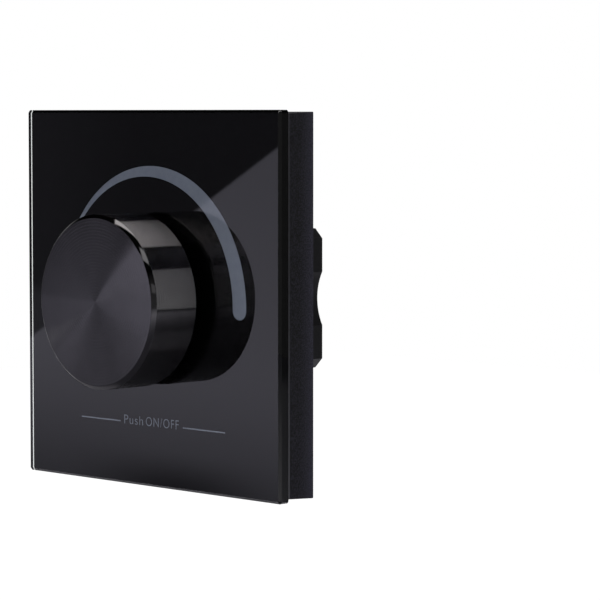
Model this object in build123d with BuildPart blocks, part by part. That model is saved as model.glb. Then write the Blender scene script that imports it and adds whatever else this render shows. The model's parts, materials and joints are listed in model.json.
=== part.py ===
from build123d import *
from math import atan2, degrees
import os

# Rotary dimmer panel: a black glass plate with a turned push knob, on a frame that snaps over a
# base plate, with a stepped eight-sided box behind it that goes into a round wall box.
# Millimetres. +X is right and +Z is up as seen from the room, and the front faces -Y.
# The origin is on the knob's axis, in the plane of the wall.

# Glass plate and the tape that bonds it
glass_side = 86.0
glass_thick = 2.8
glass_corner = 0.7
glass_bevel = 0.6
glass_rear_bevel = 0.2
glass_hole_bevel = 0.3
tape_thick = 0.4
tape_rim = 2.4

# Frame under the glass
frame_inset = 0.8
frame_draft = 0.4
frame_depth = 7.85
frame_corner = 0.3
frame_wall = 1.5
frame_web = 1.8
frame_round = 0.2
frame_ring_wall = 1.6
frame_ring_height = 1.4

# Base plate that is screwed to the wall
plate_thick = 2.2
plate_lip = 1.15
plate_clear = 0.2
plate_edge = 0.3
plate_rim_wall = 1.4
plate_rim_height = 3.0
plate_rib_wall = 1.2
plate_rib_height = 1.4
spigot_depth = 1.4
wall_screw_spacing = 60.0
wall_slot_length = 8.0
wall_slot_width = 4.2

# Beads on the base plate that snap into pockets in the frame
bead_radius = 0.7
bead_length = 9.0
bead_spread = 44.0
bead_clear = 0.15

# Eight-sided box behind the plate
box_side = 52.4
box_corner_leg = 12.4
box_depth = 14.75
box_wall = 1.8
box_rear_wall = 1.6
box_round = 0.6
deep_height = 32.0
deep_step = 2.4
scallop_radius = 12.4
scallop_depth = 1.6
seam_width = 0.3
seam_depth = 1.0

# Screws that hold the box and the circuit board to the base plate
screw_spread_x = 40.0
screw_spread_z = 24.0
screw_shank = 2.5
screw_length = 7.6
screw_head = 4.8
screw_head_height = 1.9
screw_head_round = 0.6
screw_cross = 0.7
screw_cross_span = 2.4
screw_cross_depth = 1.0
screw_clear = 0.25
pilot_clear = 0.05
column_wall = 1.1
column_floor = 2.0

# Circuit board
standoff_height = 1.0
standoff_width = 6.0
board_thick = 1.6
board_clear = 0.25
lead_proud = 0.7
lead_clear = 0.2

# Knob, its moulded hub and the room it has to move
knob_width = 39.4
knob_length = 13.0
knob_gap = 2.8
knob_chamfer = 0.85
knob_rear_chamfer = 0.4
knob_wall = 2.4
knob_face = 2.4
knob_boss_wall = 2.6
knob_boss_setback = 1.0
hub_width = 18.7
hub_dip = 1.8
hub_clear = 0.5
hub_fit = 0.05
hub_end_wall = 2.4
push_travel = 1.0

# Rotary encoder, from the board forwards
encoder_width = 11.8
encoder_height = 12.4
encoder_floor = 0.5
switch_room = 2.1
switch_bore = 7.0
rotor_bore = 10.4
rotor_width = 10.0
rotor_thick = 2.0
rotor_gap = 0.45
notch_count = 20
notch_width = 0.5
notch_depth = 0.3
notch_length = 1.6
detent_room = 0.75
detent_thick = 0.2
detent_nub = 0.8
nub_count = 2
detent_clear = 0.1
wiper_thick = 0.2
wiper_rim = 0.6
wiper_band = 1.1
flange_thick = 1.2
bushing_width = 7.0
bushing_recess = 0.2
bushing_clear = 0.8
clamp_thick = 0.4
clamp_height = 9.4
clamp_lug = 2.0
clamp_clear = 0.05
window_clear = 0.55
shaft_width = 6.0
shaft_flat = 4.5
shaft_fit = 0.03
shaft_end_gap = 0.3
shaft_end_land = 0.25
shaft_key_width = 4.6
shaft_key_flat = 3.6
shaft_shoulder_gap = 0.3
clip_thick = 0.25
clip_width = 5.6
clip_groove = 3.0
clip_opening = 2.4
clip_gap = 0.1
plunger_thick = 0.5
plunger_gap = 0.05
plunger_fit = 0.1
dome_sheet = 0.12
pin_width = 0.9
pin_thick = 0.4
pin_pitch = 2.5
pin_inset = 0.5
pin_root = 0.8
pin_proud = 1.2

# Screw terminals in a bay at the top of the box
way_count = 5
way_pitch = 5.0
terminal_drop = 0.05
terminal_depth = 7.6
terminal_height = 10.2
terminal_slope = 2.2
terminal_clear = 0.2
bay_wall = 1.2
bay_front_gap = 0.9
wire_hole = 3.4
wire_clamp_width = 3.6
wire_clamp_wall = 0.6
wire_clamp_room = 2.6
wire_clamp_fit = 0.1
wire_clamp_floor = 0.8
terminal_pin = 1.0
terminal_screw = 2.4
terminal_screw_head = 3.4
terminal_screw_head_height = 1.6
terminal_screw_well = 3.8
terminal_screw_sink = 1.2
terminal_screw_slot = 0.6
terminal_screw_slot_depth = 0.8

# Parts on the rear of the board
chip_length = 9.9
chip_width = 3.9
chip_height = 1.5
chip_lift = 0.1
chip_legs = 8
leg_pitch = 1.27
leg_width = 0.42
leg_thick = 0.2
leg_reach = 1.05
chip_z = -10.6
regulator_length = 6.5
regulator_width = 3.5
regulator_height = 1.6
regulator_tab = 3.0
regulator_leg = 0.7
regulator_pitch = 2.3
regulator_z = 10.0
transistor_width = 6.6
transistor_length = 6.1
transistor_height = 2.3
transistor_tab = 5.2
transistor_tab_thick = 0.4
transistor_leg = 0.8
transistor_leg_reach = 2.1
transistor_pitch = 4.6
transistor_spread = 15.0
transistor_z = -18.4
capacitor_width = 8.0
capacitor_height = 11.5
capacitor_round = 0.5
capacitor_groove = 0.5
capacitor_groove_width = 1.0
capacitor_groove_top = 2.0
capacitor_lead = 0.6
capacitor_pitch = 3.5
capacitor_x = -13.0
choke_width = 10.0
choke_height = 4.8
choke_corner = 2.0
choke_core = 7.4
choke_core_step = 0.5
choke_x = 13.0

# Depths of the main faces, worked out from the wall plane
plate_rear = 0.0
plate_front = plate_rear - plate_thick
spigot_rear = plate_rear + spigot_depth
frame_rear = plate_rear - plate_lip
frame_front = frame_rear - frame_depth
glass_front = frame_front - glass_thick
knob_rear = glass_front - knob_gap
knob_front = knob_rear - knob_length
board_front = spigot_rear + standoff_height
board_rear = board_front + board_thick
box_front = spigot_rear + seam_width
box_rear = spigot_rear + box_depth
deep_rear = box_rear + deep_step

# Outlines that several pieces share
frame_side = glass_side - 2 * frame_inset
frame_rear_side = frame_side + 2 * frame_draft
frame_taper = degrees(atan2(frame_draft, frame_depth))
frame_inner = frame_side - 2 * frame_wall
plate_side = frame_inner - 2 * plate_clear
tape_side = frame_side - 2 * tape_rim
hub_hole = hub_width + 2 * hub_clear
box_half = box_side / 2
deep_half = deep_height / 2
screw_hole = screw_shank + 2 * screw_clear
screw_well = screw_head + 2 * screw_clear
column_width = screw_well + 2 * column_wall
well_floor = board_rear + column_floor
bead_depth = plate_front - plate_rim_height / 2
bead_spots = [(x, bead_depth, z) for x in (-bead_spread / 2, bead_spread / 2)
              for z in (-plate_side / 2, plate_side / 2)]

# Depths inside the encoder
floor_front = board_front - encoder_floor
track_front = floor_front - switch_room
rotor_rear = track_front - rotor_gap
rotor_front = rotor_rear - rotor_thick
flange_rear = rotor_front - detent_room
flange_front = flange_rear - flange_thick
clamp_front = flange_front - clamp_thick
bushing_front = glass_front + bushing_recess
clip_front = rotor_rear + clip_gap
clip_rear = clip_front + clip_thick
shaft_rear = clip_rear + shaft_end_land
shaft_shoulder = rotor_front - push_travel - shaft_shoulder_gap
hub_front = knob_front + knob_face + hub_fit
hub_rear = glass_front + hub_dip
shaft_front = hub_front + hub_end_wall
hub_seat = bushing_front - push_travel - bushing_clear
plunger_front = shaft_rear + plunger_gap
plunger_rear = plunger_front + plunger_thick
clamp_side = encoder_width / 2 + clamp_clear
pin_row = encoder_height / 2 - pin_inset
pin_spots = [(-pin_pitch, -pin_row), (0, -pin_row), (pin_pitch, -pin_row)]
pin_spots += [(-pin_pitch, pin_row), (pin_pitch, pin_row)]

# Places of the terminals
terminal_width = way_count * way_pitch
terminal_top = box_half - box_wall - board_clear - terminal_drop
terminal_bottom = terminal_top - terminal_depth
terminal_rear = board_rear + terminal_height
terminal_middle = (terminal_top + terminal_bottom) / 2
bay_half = terminal_width / 2 + terminal_clear
bay_front = board_rear + bay_front_gap
bay_floor = terminal_bottom - terminal_clear
way_spots = [((i - (way_count - 1) / 2) * way_pitch, terminal_middle) for i in range(way_count)]
wire_clamp_front = board_rear + wire_clamp_floor
wire_clamp_height = wire_clamp_room + 2 * wire_clamp_wall
wire_clamp_rear = wire_clamp_front + wire_clamp_height
terminal_screw_top = terminal_rear - terminal_screw_sink
terminal_screw_seat = terminal_screw_top - terminal_screw_head_height


def facing(depth):
    """The upright plane at a depth, which faces the room: extruding from it comes forwards."""
    return Plane.XZ.offset(-depth)


def box_outline(plane, inset, height=box_side):
    """Draws the box's eight-sided outline with its side scallops, set in, and cut to a height."""
    half = box_half - inset
    with BuildSketch(plane) as outline:
        Rectangle(2 * half, 2 * half)
        chamfer(outline.vertices(), box_corner_leg - inset * (2 - 2 ** 0.5))
        scallop_x = box_half - scallop_depth + scallop_radius
        with Locations((-scallop_x, 0), (scallop_x, 0)):
            Circle(scallop_radius + inset, mode=Mode.SUBTRACT)
        Rectangle(2 * half, height, mode=Mode.INTERSECT)
    return outline.sketch


def keyed_section(clearance):
    """Draws the round section with two flats at the shaft's inner end."""
    Circle(shaft_key_width / 2 + clearance)
    Rectangle(shaft_key_width + 2 * clearance, shaft_key_flat + 2 * clearance, mode=Mode.INTERSECT)


def flatted_section(clearance):
    """Draws the round section with one flat at the shaft's outer end."""
    radius = shaft_width / 2 + clearance
    Circle(radius)
    with Locations((0, -radius)):
        Rectangle(2 * radius, shaft_flat + 2 * clearance, align=(Align.CENTER, Align.MIN),
                  mode=Mode.INTERSECT)


def finish(piece, name):
    """Labels a finished piece and writes it to its own file."""
    piece.part.label = name
    export_step(piece.part, f"parts/{name}.step")


os.makedirs("parts", exist_ok=True)

# Glass plate: bevelled round its front, arrised round its rear, with a hole for the knob's hub
with BuildPart() as glass_panel:
    with BuildSketch(facing(frame_front)):
        RectangleRounded(glass_side, glass_side, glass_corner)
        Circle(hub_hole / 2, mode=Mode.SUBTRACT)
    extrude(amount=glass_thick)
    front_rim = glass_panel.faces().sort_by(Axis.Y)[0].outer_wire().edges()
    rear_rim = glass_panel.faces().sort_by(Axis.Y)[-1].outer_wire().edges()
    chamfer(front_rim, glass_bevel)
    chamfer(rear_rim, glass_rear_bevel)
    hole_edges = glass_panel.edges().filter_by(GeomType.CIRCLE).filter_by(
        lambda edge: abs(edge.radius - hub_hole / 2) < glass_hole_bevel)
    chamfer(hole_edges, glass_hole_bevel)
finish(glass_panel, "glass_panel")

# Double-sided tape sheet in a pocket in the frame's front
with BuildPart() as adhesive_sheet:
    with BuildSketch(facing(frame_front + tape_thick)):
        RectangleRounded(tape_side, tape_side, frame_corner)
        Circle(hub_hole / 2, mode=Mode.SUBTRACT)
    extrude(amount=tape_thick)
finish(adhesive_sheet, "adhesive_sheet")

# Moulded frame: a skirt round the edge, a web behind the glass and a stiffening ring
with BuildPart() as front_frame:
    with BuildSketch(facing(frame_rear)):
        Rectangle(frame_rear_side, frame_rear_side)
    extrude(amount=frame_depth, taper=frame_taper)
    fillet(front_frame.edges().group_by(Axis.Y)[1], frame_corner)
    fillet(front_frame.faces().sort_by(Axis.Y)[0].edges(), frame_round)
    with BuildSketch(facing(frame_rear)):
        Rectangle(frame_inner, frame_inner)
    extrude(amount=frame_depth - frame_web, mode=Mode.SUBTRACT)
    with BuildSketch(facing(frame_front + frame_web + frame_ring_height)):
        Circle(hub_hole / 2 + frame_ring_wall)
    extrude(amount=frame_ring_height)
    with BuildSketch(facing(frame_front + tape_thick)):
        RectangleRounded(tape_side, tape_side, frame_corner)
    extrude(amount=tape_thick, mode=Mode.SUBTRACT)
    with BuildSketch(facing(frame_rear)):
        Circle(hub_hole / 2)
    extrude(amount=frame_depth, mode=Mode.SUBTRACT)
    with Locations(*bead_spots):
        Cylinder(bead_radius + bead_clear, bead_length + 2 * bead_clear, rotation=(0, 90, 0),
                 mode=Mode.SUBTRACT)
finish(front_frame, "front_frame")

# Base plate: fits inside the skirt, closes the box's front and carries everything
screw_grid = GridLocations(screw_spread_x, screw_spread_z, 2, 2)
window_width = 2 * (clamp_side + clamp_thick + window_clear)
window_height = encoder_height + 2 * window_clear
with BuildPart() as base_plate:
    with BuildSketch(facing(plate_rear)):
        Rectangle(plate_side, plate_side)
    extrude(amount=plate_thick)
    chamfer(base_plate.faces().sort_by(Axis.Y)[-1].edges(), plate_edge)
    with BuildSketch(facing(plate_front)):
        Rectangle(plate_side, plate_side)
        Rectangle(plate_side - 2 * plate_rim_wall, plate_side - 2 * plate_rim_wall, mode=Mode.SUBTRACT)
    extrude(amount=plate_rim_height)
    with BuildSketch(facing(plate_front)):
        Rectangle(plate_rib_wall, plate_side - plate_rim_wall)
        with Locations((0, -box_half), (0, box_half)):
            Rectangle(plate_side - plate_rim_wall, plate_rib_wall)
    extrude(amount=plate_rib_height)
    with Locations(*bead_spots):
        Cylinder(bead_radius, bead_length, rotation=(0, 90, 0))
    extrude(box_outline(facing(spigot_rear), 0), amount=spigot_depth)
    with BuildSketch(facing(board_front)):
        with screw_grid:
            Circle(standoff_width / 2)
    extrude(amount=standoff_height)
    with BuildSketch(facing(board_front)):
        with screw_grid:
            Circle(screw_shank / 2 + pilot_clear)
    extrude(amount=screw_length - column_floor - board_thick + pilot_clear, mode=Mode.SUBTRACT)
    with BuildSketch(facing(spigot_rear)):
        Rectangle(window_width, window_height)
    extrude(amount=spigot_rear - plate_front + plate_rib_height, mode=Mode.SUBTRACT)
    with BuildSketch(facing(plate_rear)):
        with GridLocations(wall_screw_spacing, 0, 2, 1):
            SlotOverall(wall_slot_length, wall_slot_width)
    extrude(amount=plate_thick, mode=Mode.SUBTRACT)
finish(base_plate, "base_plate")

# Box: eight-sided, deeper across its middle, scalloped beside the wall screws, open at the front
with BuildPart() as rear_housing:
    extrude(box_outline(facing(box_rear), 0), amount=box_rear - box_front)
    extrude(box_outline(facing(deep_rear), 0, deep_height), amount=deep_step)
    rear_faces = rear_housing.faces().filter_by(Axis.Y).sort_by(Axis.Y)[1:]
    step_edges = rear_housing.edges().filter_by(Axis.X).filter_by(
        lambda edge: abs(abs(edge.center().Z) - deep_half) < seam_width
        and abs(edge.center().Y - box_rear) < seam_width)
    fillet(rear_faces.edges() - step_edges, box_round)
    extrude(box_outline(facing(box_front), seam_depth), amount=seam_width)
    hollow = box_outline(facing(box_rear - box_rear_wall), box_wall)
    extrude(hollow, amount=box_depth - box_rear_wall, mode=Mode.SUBTRACT)
    deep_hollow = box_outline(facing(deep_rear - box_rear_wall), box_wall, deep_height - 2 * box_wall)
    extrude(deep_hollow, amount=deep_step, mode=Mode.SUBTRACT)
    # Bay round the terminals, open at the top and the rear
    bay_height = box_half - box_round - bay_floor
    with BuildSketch(facing(box_rear - box_rear_wall / 2)):
        with Locations((0, bay_floor - bay_wall)):
            Rectangle(2 * (bay_half + bay_wall), bay_height + bay_wall, align=(Align.CENTER, Align.MIN))
    extrude(amount=box_rear - box_rear_wall / 2 - bay_front)
    with BuildSketch(facing(box_rear)):
        with Locations((0, bay_floor)):
            Rectangle(2 * bay_half, box_half, align=(Align.CENTER, Align.MIN))
    extrude(amount=box_rear - bay_front, mode=Mode.SUBTRACT)
    # Columns that press on the board, with a well for each screw's head
    with BuildSketch(facing(deep_rear - box_rear_wall)):
        with screw_grid:
            Circle(column_width / 2)
    extrude(amount=deep_rear - box_rear_wall - board_rear)
    with BuildSketch(facing(deep_rear)):
        with screw_grid:
            Circle(screw_well / 2)
    extrude(amount=deep_rear - well_floor, mode=Mode.SUBTRACT)
    with BuildSketch(facing(deep_rear)):
        with screw_grid:
            Circle(screw_hole / 2)
    extrude(amount=deep_rear - board_rear, mode=Mode.SUBTRACT)
finish(rear_housing, "rear_housing")

# Screws from the rear, through box and board into the base plate
with BuildPart() as housing_screws:
    with BuildSketch(facing(well_floor)):
        with screw_grid:
            Circle(screw_shank / 2)
    extrude(amount=screw_length)
    with BuildSketch(facing(well_floor + screw_head_height)):
        with screw_grid:
            Circle(screw_head / 2)
    extrude(amount=screw_head_height)
    head_tops = housing_screws.faces().filter_by(Axis.Y).group_by(Axis.Y)[-1]
    fillet(head_tops.edges(), screw_head_round)
    with BuildSketch(facing(well_floor + screw_head_height)):
        with screw_grid:
            Rectangle(screw_cross, screw_cross_span)
            Rectangle(screw_cross_span, screw_cross)
    extrude(amount=screw_cross_depth, mode=Mode.SUBTRACT)
finish(housing_screws, "housing_screws")

# Circuit board, drilled for the screws and for every lead
with BuildPart() as circuit_board:
    extrude(box_outline(facing(board_rear), box_wall + board_clear), amount=board_thick)
    with BuildSketch(facing(board_rear)):
        with screw_grid:
            Circle(screw_hole / 2)
        with Locations(*pin_spots):
            Circle(pin_width / 2 + lead_clear)
        with Locations(*way_spots):
            Circle(terminal_pin / 2 + lead_clear)
        with GridLocations(2 * clamp_side + clamp_thick, 0, 2, 1):
            Rectangle(clamp_thick + 2 * lead_clear, clamp_lug + 2 * lead_clear)
        with Locations((capacitor_x, 0)):
            with GridLocations(0, capacitor_pitch, 1, 2):
                Circle(capacitor_lead / 2 + lead_clear)
    extrude(amount=board_thick, mode=Mode.SUBTRACT)
finish(circuit_board, "circuit_board")

# Encoder base: a stepped well, the switch at the bottom and the rotor above it
with BuildPart() as encoder_base:
    with BuildSketch(facing(board_front)):
        Rectangle(encoder_width, encoder_height)
    extrude(amount=board_front - flange_rear)
    with BuildSketch(facing(floor_front)):
        Circle(switch_bore / 2)
    extrude(amount=floor_front - flange_rear, mode=Mode.SUBTRACT)
    with BuildSketch(facing(track_front)):
        Circle(rotor_bore / 2)
    extrude(amount=track_front - flange_rear, mode=Mode.SUBTRACT)
    with BuildSketch(facing(board_front)):
        with Locations(*pin_spots):
            Rectangle(pin_width, pin_thick)
    extrude(amount=pin_root, mode=Mode.SUBTRACT)
finish(encoder_base, "encoder_base")

# Encoder contacts, moulded into the base and soldered through the board
with BuildPart() as encoder_pins:
    with BuildSketch(facing(board_rear + pin_proud)):
        with Locations(*pin_spots):
            Rectangle(pin_width, pin_thick)
    extrude(amount=board_rear + pin_proud - board_front + pin_root)
finish(encoder_pins, "encoder_pins")

# Rotor: keyed to the shaft, which slides through it, with a ring of detent notches in front
with BuildPart() as encoder_rotor:
    with BuildSketch(facing(rotor_rear)):
        Circle(rotor_width / 2)
    extrude(amount=rotor_thick)
    with BuildSketch(facing(rotor_rear)):
        keyed_section(shaft_fit)
    extrude(amount=rotor_thick, mode=Mode.SUBTRACT)
    with BuildSketch(facing(rotor_front + notch_depth)):
        with PolarLocations(rotor_width / 2, notch_count):
            Rectangle(2 * notch_length, notch_width)
    extrude(amount=notch_depth, mode=Mode.SUBTRACT)
finish(encoder_rotor, "encoder_rotor")

# Brush ring fixed to the rear of the rotor
with BuildPart() as encoder_wiper:
    with BuildSketch(facing(rotor_rear + wiper_thick)):
        Circle(rotor_width / 2 - wiper_rim)
        Circle(rotor_width / 2 - wiper_rim - wiper_band, mode=Mode.SUBTRACT)
    extrude(amount=wiper_thick)
finish(encoder_wiper, "encoder_wiper")

# Detent spring: a flat ring under the flange with two nubs that run over the notches
with BuildPart() as detent_spring:
    with BuildSketch(facing(flange_rear + detent_thick)):
        Circle(rotor_bore / 2 - detent_clear)
        Circle(shaft_width / 2 + detent_clear, mode=Mode.SUBTRACT)
    extrude(amount=detent_thick)
    nub_ring = (rotor_width + shaft_width) / 4
    with BuildSketch(facing(rotor_front - detent_clear)):
        with PolarLocations(nub_ring, nub_count):
            Circle(detent_nub / 2)
    extrude(amount=rotor_front - detent_clear - flange_rear)
finish(detent_spring, "detent_spring")

# Die-cast flange and threaded neck that guide the shaft
with BuildPart() as encoder_bushing:
    with BuildSketch(facing(flange_rear)):
        Rectangle(encoder_width, encoder_height)
    extrude(amount=flange_thick)
    with BuildSketch(facing(flange_front)):
        Circle(bushing_width / 2)
    extrude(amount=flange_front - bushing_front)
    chamfer(encoder_bushing.faces().sort_by(Axis.Y)[0].edges(), bushing_recess)
    with BuildSketch(facing(flange_rear)):
        Circle(shaft_width / 2 + shaft_fit)
    extrude(amount=flange_rear - bushing_front, mode=Mode.SUBTRACT)
finish(encoder_bushing, "encoder_bushing")

# Folded steel clamp over the flange, with two lugs soldered through the board
with BuildPart() as encoder_clamp:
    with BuildSketch(facing(board_front)):
        with GridLocations(2 * clamp_side + clamp_thick, 0, 2, 1):
            Rectangle(clamp_thick, clamp_height)
    extrude(amount=board_front - clamp_front)
    with BuildSketch(facing(flange_front)):
        Rectangle(2 * clamp_side + 2 * clamp_thick, clamp_height)
    extrude(amount=clamp_thick)
    fold_edges = encoder_clamp.edges().filter_by(Axis.Z).group_by(Axis.Y)[0]
    fillet(fold_edges, clamp_thick)
    with BuildSketch(facing(flange_front)):
        Circle(bushing_width / 2 + clamp_clear)
    extrude(amount=clamp_thick, mode=Mode.SUBTRACT)
    with BuildSketch(facing(board_rear + pin_proud)):
        with GridLocations(2 * clamp_side + clamp_thick, 0, 2, 1):
            Rectangle(clamp_thick, clamp_lug)
    extrude(amount=board_rear + pin_proud - board_front)
finish(encoder_clamp, "encoder_clamp")

# Shaft: round in the neck, one flat in the knob's hub, two flats in the rotor, a clip groove
with BuildPart() as encoder_shaft:
    with BuildSketch(facing(shaft_shoulder)):
        Circle(shaft_width / 2)
    extrude(amount=shaft_shoulder - hub_seat)
    with BuildSketch(facing(hub_seat)):
        flatted_section(0)
    extrude(amount=hub_seat - shaft_front)
    with BuildSketch(facing(shaft_rear)):
        keyed_section(0)
    extrude(amount=shaft_rear - shaft_shoulder)
    with BuildSketch(facing(clip_rear)):
        Circle(shaft_key_width)
        Circle(clip_groove / 2, mode=Mode.SUBTRACT)
    extrude(amount=clip_thick, mode=Mode.SUBTRACT)
finish(encoder_shaft, "encoder_shaft")

# Open spring ring in the groove, which keeps the shaft from being pulled out
with BuildPart() as shaft_clip:
    with BuildSketch(facing(clip_rear)):
        Circle(clip_width / 2)
        Circle(clip_groove / 2 + shaft_fit, mode=Mode.SUBTRACT)
        Rectangle(clip_opening, clip_width, align=(Align.CENTER, Align.MIN), mode=Mode.SUBTRACT)
    extrude(amount=clip_thick)
finish(shaft_clip, "shaft_clip")

# Plunger that the shaft's end presses, and the domed spring disc under it
with BuildPart() as switch_plunger:
    with BuildSketch(facing(plunger_rear)):
        Circle(switch_bore / 2 - plunger_fit)
    extrude(amount=plunger_thick)
finish(switch_plunger, "switch_plunger")

dome_rise = floor_front - plunger_rear - plunger_gap
dome_reach = switch_bore / 2 - plunger_fit
dome_radius = (dome_reach ** 2 + dome_rise ** 2) / (2 * dome_rise)
with BuildPart() as switch_dome:
    with BuildSketch(Plane.XY):
        with Locations((0, floor_front - dome_rise + dome_radius)):
            Circle(dome_radius)
            Circle(dome_radius - dome_sheet, mode=Mode.SUBTRACT)
        with Locations((0, floor_front)):
            Rectangle(switch_bore, switch_bore, align=(Align.MIN, Align.MAX), mode=Mode.INTERSECT)
    revolve(axis=Axis.Y)
finish(switch_dome, "switch_dome")

# Knob: turned from bar, hollow behind, with a boss that holds the hub
with BuildPart() as knob:
    with BuildSketch(facing(knob_rear)):
        Circle(knob_width / 2)
    extrude(amount=knob_length)
    chamfer(knob.faces().sort_by(Axis.Y)[0].edges(), knob_chamfer)
    chamfer(knob.faces().sort_by(Axis.Y)[-1].edges(), knob_rear_chamfer)
    boss_radius = hub_width / 2 + hub_fit + knob_boss_wall
    with BuildSketch(facing(knob_rear)):
        Circle(knob_width / 2 - knob_wall)
        Circle(boss_radius, mode=Mode.SUBTRACT)
    extrude(amount=knob_length - knob_face, mode=Mode.SUBTRACT)
    with BuildSketch(facing(knob_rear)):
        Circle(boss_radius)
    extrude(amount=knob_boss_setback, mode=Mode.SUBTRACT)
    with BuildSketch(facing(knob_rear)):
        Circle(hub_width / 2 + hub_fit)
    extrude(amount=knob_length - knob_face, mode=Mode.SUBTRACT)
finish(knob, "knob")

# Hub: moulded plug in the knob's boss, which passes through the glass and grips the shaft
with BuildPart() as knob_hub:
    with BuildSketch(facing(hub_rear)):
        Circle(hub_width / 2)
    extrude(amount=hub_rear - hub_front)
    with BuildSketch(facing(hub_rear)):
        Circle(bushing_width / 2 + bushing_clear)
    extrude(amount=hub_rear - hub_seat, mode=Mode.SUBTRACT)
    with BuildSketch(facing(hub_seat)):
        flatted_section(shaft_fit)
    extrude(amount=hub_seat - shaft_front + shaft_end_gap, mode=Mode.SUBTRACT)
finish(knob_hub, "knob_hub")

# Terminal block: wires go in at the top and the clamping screws face the rear
with BuildPart() as terminal_block:
    with BuildSketch(Plane.YZ.offset(-terminal_width / 2)):
        with BuildLine():
            Polyline(
                (board_rear, terminal_bottom),
                (terminal_rear, terminal_bottom),
                (terminal_rear, terminal_top - terminal_slope),
                (terminal_rear - terminal_slope, terminal_top),
                (board_rear, terminal_top),
                close=True,
            )
        make_face()
    extrude(amount=terminal_width)
    wire_axis = wire_clamp_front + wire_clamp_height / 2
    cage_width = wire_clamp_width + 2 * wire_clamp_fit
    with Locations(*[(x, wire_axis, terminal_top) for x, _ in way_spots]):
        Box(wire_hole, wire_hole, terminal_top - terminal_middle,
            align=(Align.CENTER, Align.CENTER, Align.MAX), mode=Mode.SUBTRACT)
    with Locations(*[(x, wire_axis, z) for x, z in way_spots]):
        Box(cage_width, wire_clamp_height + 2 * wire_clamp_fit, cage_width, mode=Mode.SUBTRACT)
    with BuildSketch(facing(terminal_rear)):
        with Locations(*way_spots):
            Circle(terminal_screw_well / 2)
    extrude(amount=terminal_rear - wire_clamp_rear, mode=Mode.SUBTRACT)
    with BuildSketch(facing(wire_clamp_front)):
        with Locations(*way_spots):
            Circle(terminal_pin / 2 + wire_clamp_fit)
    extrude(amount=wire_clamp_floor, mode=Mode.SUBTRACT)
finish(terminal_block, "terminal_block")

# Brass cages with a pin each, which the screws close on the wires
with BuildPart() as wire_clamps:
    with Locations(*[(x, wire_axis, z) for x, z in way_spots]):
        Box(wire_clamp_width, wire_clamp_height, wire_clamp_width)
        Box(wire_clamp_room, wire_clamp_room, wire_clamp_width, mode=Mode.SUBTRACT)
    with BuildSketch(facing(wire_clamp_front)):
        with Locations(*way_spots):
            Circle(terminal_pin / 2)
    extrude(amount=wire_clamp_front - board_front + lead_proud)
    with BuildSketch(facing(wire_clamp_rear)):
        with Locations(*way_spots):
            Circle(terminal_screw / 2 + pilot_clear)
    extrude(amount=wire_clamp_wall, mode=Mode.SUBTRACT)
finish(wire_clamps, "wire_clamps")

# Slotted clamping screws in the wells
with BuildPart() as terminal_screws:
    with BuildSketch(facing(terminal_screw_top)):
        with Locations(*way_spots):
            Circle(terminal_screw_head / 2)
    extrude(amount=terminal_screw_head_height)
    with BuildSketch(facing(terminal_screw_seat)):
        with Locations(*way_spots):
            Circle(terminal_screw / 2)
    extrude(amount=terminal_screw_seat - wire_clamp_rear + wire_clamp_wall)
    with BuildSketch(facing(terminal_screw_top)):
        with Locations(*way_spots):
            Rectangle(terminal_screw_head, terminal_screw_slot)
    extrude(amount=terminal_screw_slot_depth, mode=Mode.SUBTRACT)
finish(terminal_screws, "terminal_screws")

# Control chip with two rows of legs
chip_rear = board_rear + chip_lift + chip_height
with BuildPart() as control_chip:
    with BuildSketch(facing(chip_rear)):
        with Locations((0, chip_z)):
            Rectangle(chip_length, chip_width)
    extrude(amount=chip_height)
    with BuildSketch(facing(board_rear + chip_lift + chip_height / 2)):
        with Locations((0, chip_z)):
            with GridLocations(leg_pitch, chip_width + leg_reach, chip_legs, 2):
                Rectangle(leg_width, leg_reach)
    extrude(amount=leg_thick)
    with BuildSketch(facing(board_rear + chip_lift + chip_height / 2)):
        with Locations((0, chip_z)):
            with GridLocations(leg_pitch, chip_width + 2 * leg_reach - leg_thick, chip_legs, 2):
                Rectangle(leg_width, leg_thick)
    extrude(amount=chip_lift + chip_height / 2)
finish(control_chip, "control_chip")

# Voltage regulator with a wide tab and three legs
with BuildPart() as voltage_regulator:
    with BuildSketch(facing(board_rear + regulator_height)):
        with Locations((0, regulator_z)):
            Rectangle(regulator_length, regulator_width)
    extrude(amount=regulator_height)
    with BuildSketch(facing(board_rear + leg_thick)):
        with Locations((0, regulator_z + regulator_width / 2)):
            Rectangle(regulator_tab, 2 * leg_reach)
        with Locations((0, regulator_z - regulator_width / 2)):
            with GridLocations(regulator_pitch, 0, 3, 1):
                Rectangle(regulator_leg, 2 * leg_reach)
    extrude(amount=leg_thick)
finish(voltage_regulator, "voltage_regulator")

# Two power transistors that switch the lamp circuit, tabs soldered to the board
with BuildPart() as power_transistors:
    with BuildSketch(facing(board_rear + transistor_height)):
        with Locations((0, transistor_z)):
            with GridLocations(transistor_spread, 0, 2, 1):
                Rectangle(transistor_width, transistor_length)
    extrude(amount=transistor_height)
    with BuildSketch(facing(board_rear + transistor_tab_thick)):
        with Locations((0, transistor_z - transistor_length / 2)):
            with GridLocations(transistor_spread, 0, 2, 1):
                Rectangle(transistor_tab, 2 * leg_reach)
        with Locations((0, transistor_z + transistor_length / 2)):
            with GridLocations(transistor_spread, 0, 2, 1):
                with GridLocations(transistor_pitch, 0, 2, 1):
                    Rectangle(transistor_leg, 2 * transistor_leg_reach)
    extrude(amount=transistor_tab_thick)
finish(power_transistors, "power_transistors")

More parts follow.
